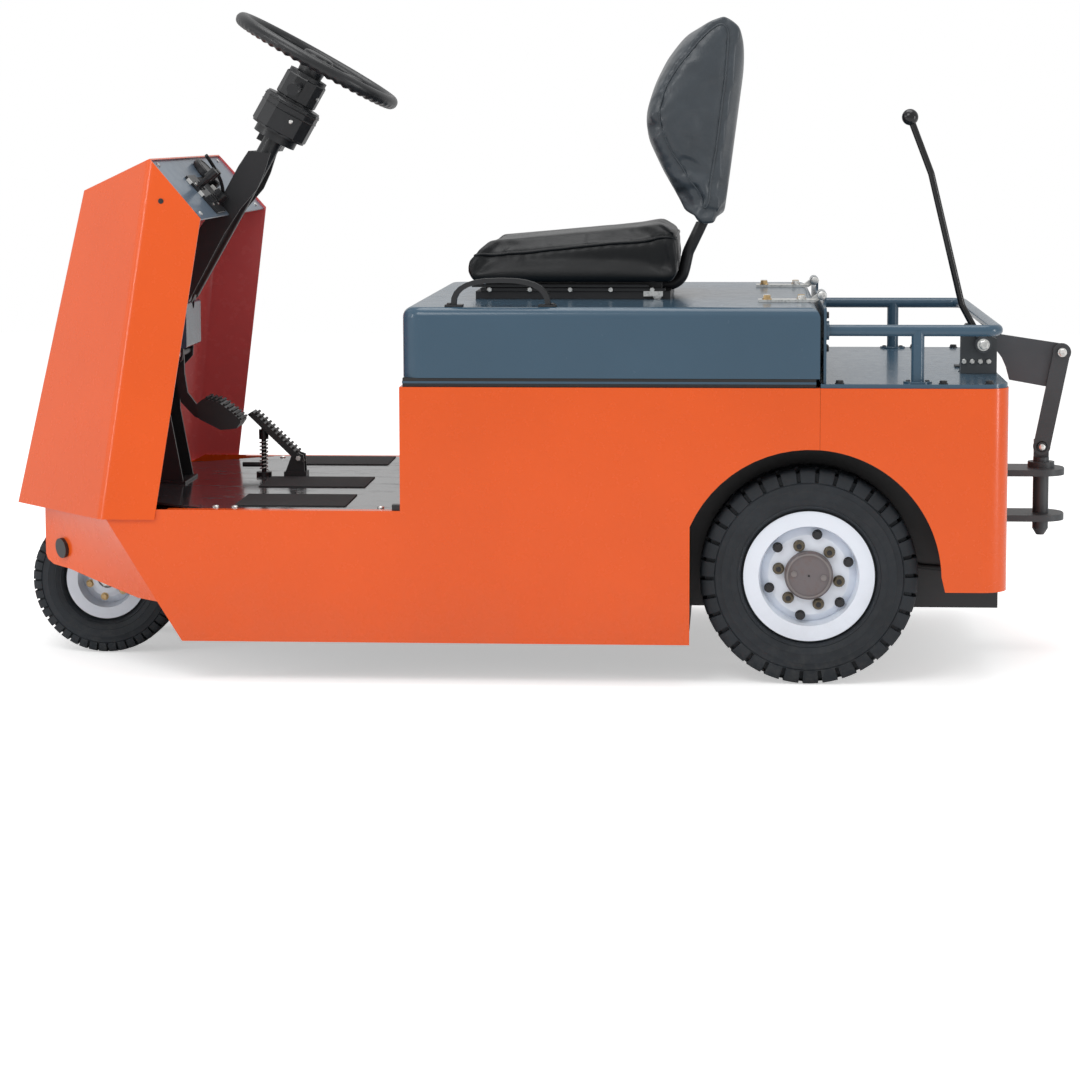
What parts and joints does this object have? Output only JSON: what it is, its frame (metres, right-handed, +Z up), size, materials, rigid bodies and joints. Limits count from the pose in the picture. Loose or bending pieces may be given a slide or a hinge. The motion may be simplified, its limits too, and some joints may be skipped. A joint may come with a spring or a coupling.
{
  "type": "airport tow tractor",
  "caption": "Electric rider tow tractor with a folded front cowl, open footwell, padded seat on a hinged battery cover, steered front wheels and a rear pin hitch.",
  "frame": {"origin": "centre of the overall box in plan, on the ground", "axes": "+X to the vehicle's rear, -Y to the driver's left, +Z up"},
  "size_m": [2.128, 0.962, 1.2961],
  "materials": {
    "orange_paint": "gloss orange enamel",
    "grey_paint": "gloss blue-grey enamel",
    "black_paint": "satin black enamel",
    "floor_paint": "gloss dark grey",
    "hitch_paint": "satin dark grey",
    "rim_paint": "silver enamel",
    "cast_hub": "brown cast",
    "zinc": "zinc plated",
    "tread_rubber": "moulded tyre rubber",
    "soft_rubber": "matte black rubber",
    "black_plastic": "satin black plastic",
    "seat_vinyl": "black vinyl"
  },
  "bodies": {
    "tractor_body": {"chassis_frame": "black_paint", "side_panel_left": "orange_paint", "side_panel_right": "orange_paint", "rear_body": "orange_paint", "box_front": "orange_paint", "battery_block": "black_plastic", "floor_plate": "floor_paint", "floor_pads": "soft_rubber", "steering_head": "black_paint", "cowl": "orange_paint", "instrument_panel": "grey_paint", "dash_controls": "black_plastic", "controller_box": "grey_paint", "column_stand": "black_paint", "steering_column": "black_plastic", "column_bracket": "black_paint", "ignition_box": "black_plastic", "brake_pedal": "black_paint", "accelerator_pedal": "black_paint", "trim_plugs": "black_plastic", "rear_axle": "black_paint", "rear_deck": "grey_paint", "rear_bulkhead": "grey_paint", "guard_rail": "grey_paint", "cover_seal": "soft_rubber", "lever_bracket": "hitch_paint", "hitch_jaw": "hitch_paint", "brake_hoses": "soft_rubber"},
    "steer_unit": {"steer_post": "black_paint"},
    "front_wheels": {"front_tyres": "tread_rubber", "front_rims": "rim_paint"},
    "rear_wheel_left": {"rear_tyre_left": "tread_rubber", "rear_rim_left": "rim_paint", "hub_left": "cast_hub"},
    "rear_wheel_right": {"rear_tyre_right": "tread_rubber", "rear_rim_right": "rim_paint", "hub_right": "cast_hub"},
    "cover_unit": {"battery_cover": "grey_paint", "cover_handles": "black_plastic", "cover_straps": "zinc", "seat_frame": "black_paint", "seat_cushion": "seat_vinyl", "seat_back": "seat_vinyl"},
    "lever_unit": {"release_lever": "hitch_paint"},
    "link_unit": {"hitch_link": "hitch_paint"},
    "pin_unit": {"hitch_pin": "hitch_paint"},
    "steering_wheel_unit": {"steering_wheel": "black_plastic"}
  },
  "joints": [
    {"name": "front_steer", "type": "hinge", "parent": "tractor_body", "child": "steer_unit", "pos_m": [-0.888, 0, 0.15], "axis": [0, 0, 1], "range_deg": [-60, 60]},
    {"name": "front_wheel_spin", "type": "hinge", "parent": "steer_unit", "child": "front_wheels", "pos_m": [-0.888, 0, 0.15], "axis": [0, 1, 0], "continuous": true},
    {"name": "rear_left_spin", "type": "hinge", "parent": "tractor_body", "child": "rear_wheel_left", "pos_m": [0.528, -0.386, 0.208], "axis": [0, 1, 0], "continuous": true},
    {"name": "rear_right_spin", "type": "hinge", "parent": "tractor_body", "child": "rear_wheel_right", "pos_m": [0.528, 0.386, 0.208], "axis": [0, 1, 0], "continuous": true},
    {"name": "cover_hinge", "type": "hinge", "parent": "tractor_body", "child": "cover_unit", "pos_m": [0.553, 0, 0.737], "axis": [0, 1, 0], "range_deg": [0, 70]},
    {"name": "lever_pull", "type": "hinge", "parent": "tractor_body", "child": "lever_unit", "pos_m": [0.868, -0.236, 0.638], "axis": [0, 1, 0], "range_deg": [-30, 0]},
    {"name": "pin_lift", "type": "slide", "parent": "tractor_body", "child": "pin_unit", "axis": [0, 0, 1], "range_m": [0, 0.0934]},
    {"name": "link_swing", "type": "hinge", "parent": "lever_unit", "child": "link_unit", "pos_m": [1.0456, 0, 0.606], "axis": [0, 1, 0], "range_deg": [0, 29]},
    {"name": "steering_wheel_turn", "type": "hinge", "parent": "tractor_body", "child": "steering_wheel_unit", "pos_m": [-0.467, 0, 1.197], "axis": [0.4955, 0, 0.8686], "range_deg": [-361, 361]}
  ],
  "couplings": [
    {"joint": "steering_wheel_turn", "follows": "front_steer", "ratio": 6},
    {"joint": "pin_lift", "follows": "lever_pull", "m_per_rad": -0.1782},
    {"joint": "link_swing", "follows": "lever_pull", "ratio": -0.965}
  ]
}
